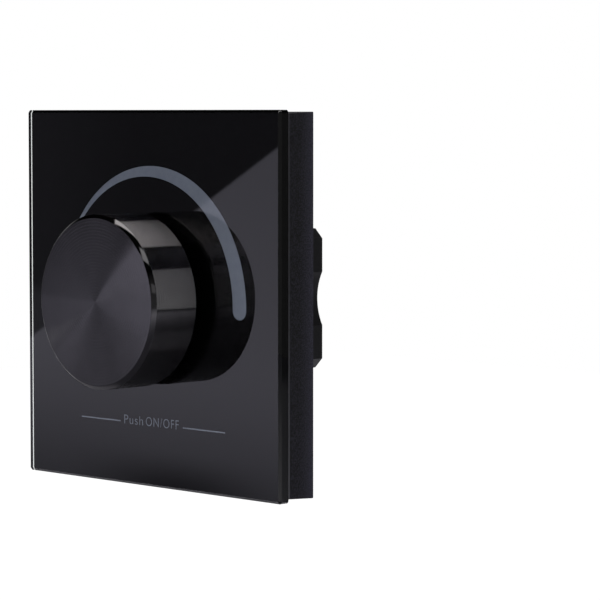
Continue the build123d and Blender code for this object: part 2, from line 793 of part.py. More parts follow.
# Smoothing capacitor: a can with a crimped groove, standing on two leads
can_radius = capacitor_width / 2
with BuildPart() as capacitor:
    with BuildSketch(facing(board_rear + capacitor_height)):
        with Locations((capacitor_x, 0)):
            Circle(can_radius)
    extrude(amount=capacitor_height)
    fillet(capacitor.faces().filter_by(Axis.Y).edges(), capacitor_round)
    with BuildSketch(facing(board_rear + capacitor_groove_top)):
        with Locations((capacitor_x, 0)):
            Circle(can_radius)
            Circle(can_radius - capacitor_groove, mode=Mode.SUBTRACT)
    extrude(amount=capacitor_groove_width, mode=Mode.SUBTRACT)
    with BuildSketch(facing(board_rear)):
        with Locations((capacitor_x, 0)):
            with GridLocations(0, capacitor_pitch, 1, 2):
                Circle(capacitor_lead / 2)
    extrude(amount=board_thick + lead_proud)
finish(capacitor, "capacitor")

# Choke: a square shielded core with a round centre
with BuildPart() as choke:
    with BuildSketch(facing(board_rear + choke_height)) as choke_outline:
        with Locations((choke_x, 0)):
            Rectangle(choke_width, choke_width)
        chamfer(choke_outline.vertices(), choke_corner)
    extrude(amount=choke_height)
    with BuildSketch(facing(board_rear + choke_height)):
        with Locations((choke_x, 0)):
            Circle(choke_core / 2)
            Circle(choke_core / 2 - choke_core_step, mode=Mode.SUBTRACT)
    extrude(amount=choke_core_step, mode=Mode.SUBTRACT)
finish(choke, "choke")
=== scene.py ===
import json
import math
import bmesh
import bpy
from mathutils import Matrix, Vector


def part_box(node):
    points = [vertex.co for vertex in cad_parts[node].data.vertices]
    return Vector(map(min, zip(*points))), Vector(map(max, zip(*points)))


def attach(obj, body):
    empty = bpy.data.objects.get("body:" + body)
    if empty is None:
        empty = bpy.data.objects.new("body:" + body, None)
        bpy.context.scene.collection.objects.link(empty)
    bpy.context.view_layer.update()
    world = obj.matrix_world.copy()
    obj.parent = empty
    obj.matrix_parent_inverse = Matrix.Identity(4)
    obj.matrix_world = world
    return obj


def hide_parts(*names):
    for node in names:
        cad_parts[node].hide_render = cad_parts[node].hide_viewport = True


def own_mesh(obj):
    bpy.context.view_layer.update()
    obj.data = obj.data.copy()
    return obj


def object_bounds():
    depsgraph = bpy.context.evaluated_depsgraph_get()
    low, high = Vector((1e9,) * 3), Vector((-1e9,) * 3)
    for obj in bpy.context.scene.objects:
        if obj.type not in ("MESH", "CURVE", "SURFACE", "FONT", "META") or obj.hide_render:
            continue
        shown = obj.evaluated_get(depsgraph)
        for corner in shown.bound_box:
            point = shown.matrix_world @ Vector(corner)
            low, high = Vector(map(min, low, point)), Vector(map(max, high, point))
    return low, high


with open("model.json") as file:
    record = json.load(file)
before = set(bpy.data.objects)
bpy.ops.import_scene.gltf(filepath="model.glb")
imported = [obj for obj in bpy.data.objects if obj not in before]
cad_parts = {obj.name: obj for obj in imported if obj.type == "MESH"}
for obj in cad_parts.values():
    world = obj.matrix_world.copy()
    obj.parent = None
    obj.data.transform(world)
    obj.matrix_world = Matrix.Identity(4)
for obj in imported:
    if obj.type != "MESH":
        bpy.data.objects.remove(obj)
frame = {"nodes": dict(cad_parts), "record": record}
cad_low, cad_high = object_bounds()

# Metres throughout, and small sizes are given in millimetres
mm = 0.001
glass_low, glass_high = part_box("glass_panel")
knob_low, knob_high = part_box("knob")

# Meshes: points this close are one point, and edges that turn further than this are sharp
merge_distance = 0.001 * mm
sharp_turn = math.radians(25.0)
full_turn = 2.0 * math.pi
quarter_turn = math.pi / 2
origin = (0.0, 0.0, 0.0)
axis_y = (0.0, 1.0, 0.0)

# Camera, at the photograph's viewing angle
camera_place = Vector((478.05, -437.25, 42.03)) * mm
camera_yaw = math.radians(45.229)
camera_pitch = math.radians(-3.782)
camera_lens = 168.62
camera_sensor = 36.0
camera_clip = 0.01

# Prints inside the rear face of the glass
print_edge = 0.2 * mm
print_corner = 0.5 * mm
print_corner_steps = 6
print_hole = 19.9 * mm
print_hole_steps = 96
print_thick = 0.01 * mm
black_print_depth = 0.02 * mm
grey_print_depth = 0.04 * mm

# Level arc: the space between two round outlines whose centres lie apart
arc_outer_centre = Vector((-0.435, 0.0, -1.055)) * mm
arc_outer_radius = 31.326 * mm
arc_inner_centre = Vector((-2.318, 0.0, -1.071)) * mm
arc_inner_radius = 28.919 * mm
arc_overrun = math.radians(0.5)
arc_steps = 120
arc_end_steps = 12

# Legend under the knob: each word with its left and right end, then the rules beside the words
legend_words = (("Push", -9.92 * mm, -3.45 * mm), ("ON/OFF", -2.42 * mm, 8.7 * mm))
legend_base = -29.33 * mm
legend_capitals = 2.05 * mm
legend_spacing = 1.12
legend_rules = (("left", -24.98 * mm, -11.2 * mm), ("right", 10.12 * mm, 24.05 * mm))
legend_rule_level = -28.82 * mm
legend_rule_thick = 0.29 * mm

# Letters before they are scaled: how far their strokes are thinned, and the width of the first letter
legend_thinning = -0.01
legend_first_letter = 0.3

# Turned knob, with the sizes of its solid
knob_chamfer = 0.85 * mm
knob_rear_chamfer = 0.4 * mm
knob_wall = 2.4 * mm
knob_face = 2.4 * mm
knob_boss_radius = 12.0 * mm
knob_boss_setback = 1.0 * mm
knob_bore_radius = 9.4 * mm
knob_edge_round = 0.06 * mm
knob_edge_steps = 3
knob_steps = 192

# Tool lines of the knob: one groove for each feed, deeper and shallower in wide rings
tool_feed = 0.13 * mm
tool_groove_middle = 0.57
tool_groove_height = 0.085 * mm
tool_ring = 0.7 * mm
tool_ring_share = 0.3
tool_depth_face = 0.36
tool_depth_bevel = 0.08
tool_depth_side = 1.0

# Spring disc of the push switch
disc_sheet = 0.12 * mm
disc_steps = 10
disc_turn_steps = 48

# Colours
white = (1.0, 1.0, 1.0)
black = (0.0, 0.0, 0.0)

# Noise: its middle value, the stretch of it that runs from one colour to the other, and fine settings
noise_middle = 0.5
tone_range = (0.3, 0.7)
fine_detail = 3.0
fine_roughness = 0.6

# Moulded and cast finishes, with the speckle's share against wider clouds and the clouds' size in specks
speck_share = 0.6
cloud_specks = 12.0
moulded_finishes = {
    "black_tape": {
        "dark": (0.008, 0.008, 0.009), "light": (0.014, 0.014, 0.015),
        "speck": 0.5 * mm, "roughness": 0.75, "grain": 0.3 * mm,
    },
    "box_plastic": {
        "dark": (0.009, 0.009, 0.010), "light": (0.013, 0.013, 0.015),
        "speck": 0.5 * mm, "roughness": 0.36, "grain": 0.5 * mm,
    },
    "hub_plastic": {
        "dark": (0.008, 0.008, 0.009), "light": (0.012, 0.012, 0.013),
        "speck": 0.5 * mm, "roughness": 0.5, "grain": 0.4 * mm,
    },
    "encoder_plastic": {
        "dark": (0.018, 0.018, 0.019), "light": (0.03, 0.03, 0.032),
        "speck": 0.4 * mm, "roughness": 0.5, "grain": 0.3 * mm,
    },
    "rotor_plastic": {
        "dark": (0.68, 0.66, 0.61), "light": (0.76, 0.74, 0.69),
        "speck": 0.6 * mm, "roughness": 0.45, "grain": 0.4 * mm,
    },
    "die_cast_zinc": {
        "dark": (0.40, 0.40, 0.41), "light": (0.52, 0.52, 0.52),
        "speck": 0.6 * mm, "roughness": 0.42, "grain": 0.4 * mm,
        "spread": 0.2, "height": 0.02 * mm, "metallic": 1.0,
    },
    "terminal_plastic": {
        "dark": (0.010, 0.010, 0.011), "light": (0.016, 0.016, 0.017),
        "speck": 0.4 * mm, "roughness": 0.42, "grain": 0.3 * mm, "height": 0.012 * mm,
    },
    "chip_resin": {
        "dark": (0.014, 0.014, 0.015), "light": (0.026, 0.026, 0.027),
        "speck": 0.2 * mm, "roughness": 0.55, "grain": 0.15 * mm, "height": 0.012 * mm,
    },
    "ferrite": {
        "dark": (0.045, 0.045, 0.047), "light": (0.075, 0.075, 0.078),
        "speck": 0.15 * mm, "roughness": 0.6, "grain": 0.2 * mm, "spread": 0.2, "height": 0.02 * mm,
    },
}

# Bare metals, with drawing lines that run along X or along Y
lines_along_x = (0.1, 1.0, 1.0)
lines_along_y = (1.0, 0.06, 1.0)
line_detail = 4.0
line_share = 0.5
line_patches = 20.0
line_spread = 0.15
line_height = 0.004 * mm
metal_finishes = {
    "spring_steel": {
        "dark": (0.42, 0.42, 0.41), "light": (0.58, 0.57, 0.55),
        "roughness": 0.3, "line": 0.3 * mm, "stretch": lines_along_x,
    },
    "plated_steel": {
        "dark": (0.50, 0.50, 0.48), "light": (0.64, 0.63, 0.60),
        "roughness": 0.28, "line": 0.25 * mm, "stretch": lines_along_y,
    },
    "contact_brass": {
        "dark": (0.60, 0.42, 0.16), "light": (0.76, 0.56, 0.25),
        "roughness": 0.3, "line": 0.3 * mm, "stretch": lines_along_y,
    },
    "can_aluminium": {
        "dark": (0.52, 0.53, 0.54), "light": (0.66, 0.66, 0.67),
        "roughness": 0.3, "line": 0.25 * mm, "stretch": lines_along_y,
    },
}

# Inks: dark and light colour, and the size of the mottle
black_ink = ((0.001, 0.001, 0.0012), (0.0018, 0.0018, 0.002), 2.0 * mm)
grey_ink = ((0.30, 0.33, 0.42), (0.33, 0.36, 0.45), 1.5 * mm)
pale_ink = ((0.35, 0.385, 0.48), (0.385, 0.42, 0.515), 1.5 * mm)
ink_detail = 5.0
ink_roughness = (0.55, 0.75)
ink_roughness_range = (0.2, 0.8)

# Glass
glass_tints = ((0.94, 0.975, 0.965), (0.955, 0.985, 0.978))
glass_film = 9.0 * mm
glass_film_detail = 4.0
glass_index = 1.52

# Black anodised aluminium of the knob
knob_colours = ((0.150, 0.147, 0.153), (0.162, 0.158, 0.165))
knob_cloud = 4.0 * mm
knob_roughness = 0.07
knob_roughness_spread = 0.04

# Frame plastic: a fine grain, with painted sheen paler towards the wall and low down, and a painted
# highlight line just behind the glass
frame_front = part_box("front_frame")[0].y
frame_colours = ((0.001, 0.001, 0.002), (0.052, 0.050, 0.078))
frame_grain = 0.36 * mm
frame_grain_range = (0.35, 0.65)
frame_grain_tones = (-0.1, 0.36)
frame_grain_height = 0.14 * mm
frame_painted_sheen_span = (frame_front + 3.0 * mm, frame_front + 10.0 * mm)
frame_painted_sheen_tone = 0.74
frame_wall_face = (-0.3 * mm, -0.05 * mm)
frame_painted_low_span = (glass_low.z, 0.0)
frame_painted_low_tone = 0.1
frame_highlight_colour = (0.2, 0.2, 0.22)
frame_highlight_span = (frame_front + 0.75 * mm, frame_front + 1.0 * mm)
frame_highlight_height = (glass_low.z, 10.0 * mm)
frame_highlight_tones = (0.7, 0.25)
frame_roughness = 0.42
frame_roughness_spread = 0.1
frame_roughness_rear = 0.06
frame_gloss = 0.36

# Board laminate
board_colours = ((0.012, 0.11, 0.05), (0.02, 0.17, 0.075))
board_pick = 0.5 * mm
board_pick_height = 0.01 * mm
board_weave_share = 0.2
board_cloud = 5.0 * mm
board_tone_range = (0.2, 0.9)
board_roughness = 0.3
board_roughness_spread = 0.1

# Floor, its tone painted light and shade for what the panel mirrors: soft edges in metres, with a value
# at each end. Left to right is x + y, and the front is x - y
floor_drop = 0.157
floor_reach = 1.6
floor_colours = ((0.12, 0.12, 0.14), (0.92, 0.92, 1.0))
floor_glow = 1.18
floor_grain = 0.02
floor_grain_share = 0.05
floor_near_shade = (0.3, 1.0)
floor_left = (-0.6, -0.1, 0.55, 1.0)
floor_right = (0.4, 1.4, 1.0, 0.43)
floor_right_end = (2.6, 2.9, 1.0, 0.1)
floor_front_end = (1.4, 3.2, 1.0, 0.35)
# Painted light: zones where the floor itself glows, at the front right and behind the panel
floor_front_glow = 0.09
floor_front_glow_edges = ((0.9, 1.6), (2.0, 3.2))
floor_back_glow = (0.35, 0.65, 0.0, 0.8)
floor_seen_glow = 0.85

# Painted pools of light on the floor near the panel: tone, then the soft edges along X and along Y
floor_start = (-2.0, -1.9)
floor_end = (1.9, 2.0)
floor_light_patches = (
    (0.38, (floor_start, (-0.115, -0.06)), ((-0.1, -0.03), floor_end)),
    (1.0, ((-0.12, -0.06), (0.1, 0.2)), ((0.07, 0.13), (0.35, 0.5))),
    (0.36, ((0.12, 0.17), (0.28, 0.36)), ((-0.2, -0.12), (0.0, 0.05))),
)

# Glowing card that the glass mirrors, its light and shade painted on: a plane square to the mirrored line
# of sight
card_distance = 1.5
card_width = 1.8
card_low = -0.14
card_high = 0.75
card_colour = (1.0, 0.975, 1.16)

# The card's slanting edge, with its bright part below and its dim part above
card_edge_through = Vector((-0.0737, 0.0339))
card_edge_slope = math.radians(37.5)
card_edge_soft = 0.0012
card_bright = 0.44
card_level_lean = 0.2
card_level_from = -0.1
card_level_low = (-0.13, -0.02, 0.3, 1.0)
card_level_high = (-0.02, 0.11, 1.0, 0.84)
card_dim = 0.042
card_dim_low = (0.0, 0.012, 0.06, 0.0)
card_dim_left = (-0.15, -0.08, 0.02, 0.0)

# The card's soft shade low down, and its front end, which is brighter towards the top
card_shade = 0.62
card_shade_at = -0.066
card_shade_reach = 0.066
card_shade_lean = 0.144
card_shade_height = (-0.1014, -0.079)
card_front = 0.7
card_front_start = (0.05, 0.4)
card_front_height = (-0.05, 0.35, 0.7, 1.5)

# Room: how bright it is behind the panel, behind the camera, above the horizon and all round
room_behind_panel = (0.8, 0.92, 0.0, 0.2)
room_behind_camera = (-0.97, -0.85, 0.05, 0.0)
room_height = (0.0, 0.25, 0.045, 0.003)
room_fill = 0.15

# Soft lamps: name, place, aim, width, height, radiance and colour
lamps = (
    ("lamp_right", (1.12, 0.02, 0.335), (0.0, 0.02, 0.335), 0.85, 0.97, 1.1, white),
    ("lamp_camera", (0.72, -0.78, 0.24), origin, 0.25, 0.16, 0.2, white),
    ("lamp_front", (0.42, -0.7, 0.8), origin, 0.3, 0.3, 0.8, white),
    ("lamp_above", (-0.03, 0.0, 0.95), (-0.03, 0.0, 0.0), 0.9, 0.9, 2.0, (1.0, 0.96, 0.94)),
)
rim_place = (1.11, 0.02, -0.173)
rim_width = 0.9
rim_height = 0.05
rim_colours = ((0.004, 0.004, 0.004), (0.008, 0.008, 0.008))
rim_weave = 0.002


def opaque(colour):
    """A colour with its alpha, as sockets take it."""
    return (*colour, 1.0)


class Wire:
    """A socket in a node tree. Arithmetic on wires adds Math nodes to the tree."""

    def __init__(self, tree, socket=None):
        self.tree = tree
        self.socket = socket

    def node(self, kind, settings=(), sockets=(), output=0):
        """Adds a node of a kind, sets it, fills or links its sockets, and gives one output."""
        made = self.tree.nodes.new("ShaderNode" + kind)
        for name, value in dict(settings).items():
            setattr(made, name, value)
        for name, value in dict(sockets).items():
            if isinstance(value, Wire):
                self.tree.links.new(value.socket, made.inputs[name])
            else:
                made.inputs[name].default_value = value
        return Wire(self.tree, made.outputs[output]) if made.outputs else None

    def math(self, operation, *others):
        """A Math node on this value and others."""
        return self.node("Math", {"operation": operation}, dict(enumerate((self, *others))))

    def __add__(self, other):
        return self.math("ADD", other)

    __radd__ = __add__

    def __sub__(self, other):
        return self.math("SUBTRACT", other)

    def __rsub__(self, other):
        return self.node("Math", {"operation": "SUBTRACT"}, {0: other, 1: self})

    def __mul__(self, other):
        return self.math("MULTIPLY", other)

    __rmul__ = __mul__

    def __pow__(self, other):
        return self.math("POWER", other)

    def axes(self, letters):
        """The coordinates of a place along the named axes."""
        return [self.node("SeparateXYZ", {}, {"Vector": self}, letter) for letter in letters]

    def step(self, start, end, low=0.0, high=1.0):
        """Goes smoothly from low to high as the value goes from start to end."""
        sockets = {"Value": self, "From Min": start, "From Max": end, "To Min": low, "To Max": high}
        return self.node("MapRange", {"interpolation_type": "SMOOTHSTEP"}, sockets)

    def band(self, rise, fall):
        """One between two soft edges, and nothing outside them."""
        return self.step(*rise) * self.step(*fall, 1.0, 0.0)

    def between(self, first, second):
        """Mixes two colours by this value, through the Mix node's colour sockets."""
        first, second = (c if isinstance(c, Wire) else opaque(c) for c in (first, second))
        return self.node("Mix", {"data_type": "RGBA"}, {0: self, 6: first, 7: second}, output=2)

    def noise(self, size, detail=2.0, roughness=0.5):
        """Noise over a place, with features of about a size."""
        sockets = {"Vector": self, "Scale": 1.0 / size, "Detail": detail, "Roughness": roughness}
        return self.node("TexNoise", {}, sockets)

    def bump(self, height):
        """The normal of a surface that this value raises by a height."""
        return self.node("Bump", {}, {"Height": self, "Distance": height})


def new_material(name):
    """An empty material, and the wire that its nodes start from."""
    material = bpy.data.materials.new(name)
    material.use_nodes = True
    material.node_tree.nodes.clear()
    return material, Wire(material.node_tree)


def surface(wire, sockets):
    """Ends a material in one Principled surface."""
    shader = wire.node("BsdfPrincipled", {}, sockets)
    wire.node("OutputMaterial", {}, {"Surface": shader})


def place_of(wire):
    """Object coordinates."""
    return wire.node("TexCoord", output="Object")


def seen_directly(wire):
    """One where the camera sees a surface itself or through glass."""
    camera_ray = wire.node("LightPath", output="Is Camera Ray")
    return camera_ray.math("MAXIMUM", wire.node("LightPath", output="Is Transmission Ray"))


def speckled(name, dark, light, speck, roughness, grain, spread=0.1, height=0.01 * mm, metallic=0.0):
    """A moulded or cast surface: two close colours in a fine speckle over a grain."""
    material, wire = new_material(name)
    place = place_of(wire)
    cloud = place.noise(speck * cloud_specks)
    tone = place.noise(speck, fine_detail) * speck_share + cloud * (1.0 - speck_share)
    surface(wire, {
        "Base Color": tone.step(*tone_range).between(dark, light),
        "Metallic": metallic,
        "Roughness": roughness + spread * (cloud - noise_middle),
        "Normal": place.noise(grain).bump(height),
    })
    return material


def drawn(name, dark, light, roughness, line, stretch):
    """Metal with fine drawing or turning lines along one direction."""
    material, wire = new_material(name)
    place = place_of(wire)
    lines = wire.node("Mapping", {}, {"Vector": place, "Scale": stretch}).noise(line, line_detail)
    tone = lines * line_share + place.noise(line * line_patches) * (1.0 - line_share)
    surface(wire, {
        "Base Color": tone.between(dark, light),
        "Metallic": 1.0,
        "Roughness": roughness + line_spread * (lines - noise_middle),
        "Normal": lines.bump(line_height),
    })
    return material


def clear_glass():
    """Polished glass with a faint film of handling on it."""
    material, wire = new_material("clear_glass")
    surface(wire, {
        "Base Color": place_of(wire).noise(glass_film, glass_film_detail).between(*glass_tints),
        "Roughness": 0.0,
        "IOR": glass_index,
        "Transmission Weight": 1.0,
        "Coat Weight": 1.0,
        "Coat Roughness": 0.0,
    })
    return material


def ink(name, dark, light, size):
    """Screen-printed ink that lies against the glass, so that it has no gloss of its own."""
    material, wire = new_material(name)
    mottle = place_of(wire).noise(size, ink_detail, fine_roughness)
    surface(wire, {
        "Base Color": mottle.step(*tone_range).between(dark, light),
        "Roughness": mottle.step(*ink_roughness_range, *ink_roughness),
        "Specular IOR Level": 0.0,
    })
    return material


def knob_metal():
    """Black anodised aluminium, turned: fine tool lines round the axis on face, bevel and side."""
    material, wire = new_material("knob_metal")
    place = place_of(wire)
    x, y, z = place.axes("XYZ")
    along = (x * x + z * z) ** 0.5 - y
    groove = (along * (1.0 / tool_feed)).math("FRACT") - tool_groove_middle
    ring = (along * (full_turn / tool_ring)).math("SINE")
    front = knob_low.y + knob_edge_round
    side = knob_low.y + knob_chamfer
    face_depth = y.step(front, front + knob_edge_round, tool_depth_face, tool_depth_bevel)
    side_depth = y.step(side, side + knob_edge_round, 0.0, tool_depth_side - tool_depth_bevel)
    depth = (face_depth + side_depth) * (1.0 + tool_ring_share * ring)
    cloud = place.noise(knob_cloud, fine_detail)
    surface(wire, {
        "Base Color": cloud.step(*tone_range).between(*knob_colours),
        "Metallic": 1.0,
        "Roughness": knob_roughness + knob_roughness_spread * (cloud - noise_middle),
        "Normal": (groove * groove * depth).bump(tool_groove_height),
    })
    return material


def frame_plastic():
    """Black moulded plastic with a fine spark-eroded grain, and painted sheen paler towards the wall and
    low down, with a painted highlight line behind the glass.
    """
    material, wire = new_material("frame_plastic")
    place = place_of(wire)
    y, z = place.axes("YZ")
    grain = place.noise(frame_grain, fine_detail, fine_roughness)
    # Painted sheen: the colour is paler towards the wall and low down, in place of the lamps' light on
    # the frame
    rear = y.step(*frame_painted_sheen_span) * y.step(*frame_wall_face, 1.0, 0.0)
    tone = grain.step(*frame_grain_range, *frame_grain_tones) + rear * frame_painted_sheen_tone
    tone = tone + z.step(*frame_painted_low_span, frame_painted_low_tone, 0.0)
    # Painted highlight: a pale line just behind the glass, stronger low down
    line = y.step(*frame_highlight_span, 1.0, 0.0) * z.step(*frame_highlight_height, *frame_highlight_tones)
    surface(wire, {
        "Base Color": line.between(tone.between(*frame_colours), frame_highlight_colour),
        "Roughness": frame_roughness + frame_roughness_spread * (grain - noise_middle)
        + frame_roughness_rear * rear,
        "Specular IOR Level": frame_gloss,
        "Normal": grain.bump(frame_grain_height),
    })
    return material


def board_laminate():
    """Green solder resist over woven glass cloth."""
    material, wire = new_material("board_laminate")
    place = place_of(wire)
    x, z = place.axes("XZ")
    pick = full_turn / board_pick
    weave = (x * pick).math("SINE") * (z * pick).math("SINE")
    cloud = place.noise(board_cloud)
    tone = (weave * board_weave_share + cloud).step(*board_tone_range)
    surface(wire, {
        "Base Color": tone.between(*board_colours),
        "Roughness": board_roughness + board_roughness_spread * cloud,
        "Normal": weave.bump(board_pick_height),
    })
    return material


def make_finishes():
    """Every finish of the object, by the name of its material slot."""
    finishes = {name: speckled(name, **look) for name, look in moulded_finishes.items()}
    finishes.update({name: drawn(name, **look) for name, look in metal_finishes.items()})
    finishes["clear_glass"] = clear_glass()
    finishes["knob_metal"] = knob_metal()
    finishes["frame_plastic"] = frame_plastic()
    finishes["board_laminate"] = board_laminate()
    return finishes


def new_piece(name, bm, material):
    """Makes a finished bmesh an object, with sharp edges kept sharp and the rest smooth."""
    mesh = bpy.data.meshes.new(name)
    for face in bm.faces:
        face.smooth = True
    for edge in bm.edges:
        edge.smooth = edge.calc_face_angle(0.0) < sharp_turn
    bm.to_mesh(mesh)
    bm.free()
    piece = bpy.data.objects.new(name, mesh)
    bpy.context.scene.collection.objects.link(piece)
    mesh.materials.append(material)
    return piece


def close_up(bm):
    """Merges the points that meet, and turns the faces outwards."""
    bmesh.ops.remove_doubles(bm, verts=bm.verts[:], dist=merge_distance)
    bmesh.ops.recalc_face_normals(bm, faces=bm.faces[:])


def spin_round(bm, steps):
    """Spins a profile once round the knob's axis, and closes the shape."""
    bmesh.ops.spin(bm, geom=bm.verts[:] + bm.edges[:], cent=origin, axis=axis_y, angle=full_turn,
                   steps=steps, use_merge=True)
    close_up(bm)


def thicken(bm):
    """Gives a flat print its thickness, to the rear."""
    made = bmesh.ops.extrude_face_region(bm, geom=bm.faces[:])
    moved = [item for item in made["geom"] if isinstance(item, bmesh.types.BMVert)]
    bmesh.ops.translate(bm, verts=moved, vec=(0.0, print_thick, 0.0))
    bmesh.ops.recalc_face_normals(bm, faces=bm.faces[:])


def chain(bm, points):
    """The vertices of a line of edges through points."""
    verts = [bm.verts.new(point) for point in points]
    for pair in zip(verts, verts[1:]):
        bm.edges.new(pair)
    return verts


def turned_knob(material):
    """The knob as it comes off the lathe: a profile spun round the axis, its edges just broken."""
    radius = knob_high.x
    front, rear = knob_low.y, knob_high.y
    inner = front + knob_face
    rim = radius - knob_wall
    profile = [
        (0.0, front),
        (radius - knob_chamfer, front),
        (radius, front + knob_chamfer),
        (radius, rear - knob_rear_chamfer),
        (radius - knob_rear_chamfer, rear),
        (rim, rear),
        (rim, inner),
        (knob_boss_radius, inner),
        (knob_boss_radius, rear - knob_boss_setback),
        (knob_bore_radius, rear - knob_boss_setback),
        (knob_bore_radius, inner),
        (0.0, inner),
    ]
    bm = bmesh.new()
    verts = chain(bm, [(r, y, 0.0) for r, y in profile])
    bmesh.ops.bevel(bm, geom=verts[1:-1], offset=knob_edge_round, affect="VERTICES",
                    segments=knob_edge_steps, profile=0.5, material=-1)
    spin_round(bm, knob_steps)
    piece = new_piece("turned_knob", bm, material)
    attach(piece, "knob")
    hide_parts("knob")


def spring_disc(material):
    """The switch's domed spring disc, kept in its domed shape; the real disc flattens towards its rim as
    the knob is pushed.
    """
    low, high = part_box("switch_dome")
    rise = high.y - low.y
    radius = (high.x ** 2 + rise ** 2) / (2.0 * rise)
    centre = low.y + radius
    bm = bmesh.new()
    for shell in (radius, radius - disc_sheet):
        turn = math.acos((centre - high.y) / shell)
        top = bm.verts.new((0.0, centre - shell, 0.0))
        bmesh.ops.spin(bm, geom=[top], cent=(0.0, centre, 0.0), axis=(0.0, 0.0, 1.0), angle=turn,
                       steps=disc_steps, use_merge=False)
    rims = [vert for vert in bm.verts if abs(vert.co.y - high.y) < merge_distance]
    bm.edges.new(rims)
    spin_round(bm, disc_turn_steps)
    piece = new_piece("spring_disc", bm, material)
    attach(piece, "panel")
    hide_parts("switch_dome")
    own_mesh(piece)


def black_print(material):
    """Black ink over the rear of the glass, up to its arris, with a hole for the hub."""
    bm = bmesh.new()
    half = glass_high.x - print_edge
    depth = glass_high.y - black_print_depth
    corners = ((-half, -half), (half, -half), (half, half), (-half, half))
    verts = chain(bm, [(x, depth, z) for x, z in corners])
    bm.edges.new((verts[-1], verts[0]))
    bmesh.ops.bevel(bm, geom=verts, offset=print_corner, affect="VERTICES", segments=print_corner_steps,
                    profile=0.5, material=-1)
    upright = Matrix.Translation((0.0, depth, 0.0)) @ Matrix.Rotation(quarter_turn, 4, "X")
    bmesh.ops.create_circle(bm, radius=print_hole / 2, segments=print_hole_steps, matrix=upright)
    bmesh.ops.triangle_fill(bm, edges=bm.edges[:], use_beauty=True, normal=(0.0, -1.0, 0.0))
    thicken(bm)
    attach(new_piece("black_print", bm, material), "panel")


def round_line(bm, centre, radius, start, turn, steps):
    """The two ends of a round line about a centre, made by spinning a point from a start angle."""
    first = bm.verts.new(centre + radius * Vector((math.cos(start), 0.0, math.sin(start))))
    made = bmesh.ops.spin(bm, geom=[first], cent=centre, axis=(0.0, -1.0, 0.0), angle=turn, steps=steps,
                          use_merge=False)
    return first, made["geom_last"][0]


def level_arc(material):
    """The grey wedge that grows from left to right round the knob, with round ends."""
    bm = bmesh.new()
    lift = Vector((0.0, glass_high.y - grey_print_depth, 0.0))
    turn = math.pi + 2.0 * arc_overrun
    outer = round_line(bm, arc_outer_centre + lift, arc_outer_radius, -arc_overrun, turn, arc_steps)
    inner = round_line(bm, arc_inner_centre + lift, arc_inner_radius, -arc_overrun, turn, arc_steps)
    bmesh.ops.bridge_loops(bm, edges=bm.edges[:])
    for a, b, way in ((outer[0], inner[0], 1.0), (outer[1], inner[1], -1.0)):
        bmesh.ops.spin(bm, geom=[bm.verts.new(a.co)], cent=(a.co + b.co) / 2, axis=(0.0, way, 0.0),
                       angle=math.pi, steps=arc_end_steps, use_merge=False)
    bmesh.ops.remove_doubles(bm, verts=bm.verts[:], dist=merge_distance)
    bmesh.ops.holes_fill(bm, edges=[edge for edge in bm.edges if len(edge.link_faces) < 2])
    bmesh.ops.recalc_face_normals(bm, faces=bm.faces[:])
    thicken(bm)
    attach(new_piece("level_arc", bm, material), "panel")


def legend_word(word, left, right, material):
    """One word, set between two ends on the legend's base line."""
    curve = bpy.data.curves.new("word", "FONT")
    curve.body = word
    curve.space_character = legend_spacing
    curve.offset = legend_thinning
    text = bpy.data.objects.new("word", curve)
    bpy.context.scene.collection.objects.link(text)
    bpy.context.view_layer.update()
    flat = bpy.data.meshes.new_from_object(text.evaluated_get(bpy.context.evaluated_depsgraph_get()))
    bpy.data.objects.remove(text)
    bm = bmesh.new()
    bm.from_mesh(flat)
    start = min(vert.co.x for vert in bm.verts)
    end = max(vert.co.x for vert in bm.verts)
    capital = max(vert.co.y for vert in bm.verts if vert.co.x < start + legend_first_letter)
    scale = ((right - left) / (end - start), legend_capitals / capital, 1.0)
    bmesh.ops.translate(bm, verts=bm.verts[:], vec=(-start, 0.0, 0.0))
    bmesh.ops.scale(bm, verts=bm.verts[:], vec=scale)
    bmesh.ops.rotate(bm, verts=bm.verts[:], cent=origin, matrix=Matrix.Rotation(quarter_turn, 3, "X"))
    bmesh.ops.translate(bm, verts=bm.verts[:], vec=(left, glass_high.y - grey_print_depth, legend_base))
    thicken(bm)
    name = "legend_" + word.lower().replace("/", "_")
    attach(new_piece(name, bm, material), "panel")


def flat_sheet(bm, matrix):
    """A square face of unit size, placed and scaled by a matrix."""
    bmesh.ops.create_grid(bm, x_segments=1, y_segments=1, size=0.5, matrix=matrix)


def legend_rule(side, start, end, material):
    """A thin rule beside the words."""
    bm = bmesh.new()
    middle = Matrix.Translation(((start + end) / 2, glass_high.y - grey_print_depth, legend_rule_level))
    size = Matrix.Diagonal((end - start, 1.0, legend_rule_thick, 1.0))
    flat_sheet(bm, middle @ size @ Matrix.Rotation(quarter_turn, 4, "X"))
    thicken(bm)
    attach(new_piece(f"legend_rule_{side}", bm, material), "panel")


def dress_nodes(finishes):
    """Gives each CAD node the finish of its slot."""
    for part in frame["record"]["subparts"]:
        for slot in frame["nodes"][part["node"]].material_slots:
            slot.material = finishes[part["material_slot"]]


def camera():
    """The camera, level with the horizon and turned by its yaw and pitch."""
    data = bpy.data.cameras.new("camera")
    data.lens = camera_lens
    data.sensor_width = camera_sensor
    data.clip_start = camera_clip
    made = bpy.data.objects.new("camera", data)
    made.location = camera_place
    made.rotation_euler = (quarter_turn + camera_pitch, 0.0, camera_yaw)
    bpy.context.scene.collection.objects.link(made)
    bpy.context.scene.camera = made


def softbox(name, place, aim, width, height, radiance, colour):
    """A rectangular lamp of an even radiance that faces a point."""
    data = bpy.data.lights.new(name, "AREA")
    data.shape = "RECTANGLE"
    data.size = width
    data.size_y = height
    data.energy = radiance * math.pi * width * height
    data.color = colour
    made = bpy.data.objects.new(name, data)
    made.location = place
    made.rotation_euler = (Vector(aim) - Vector(place)).to_track_quat("-Z", "Y").to_euler()
    made.visible_camera = False
    bpy.context.scene.collection.objects.link(made)


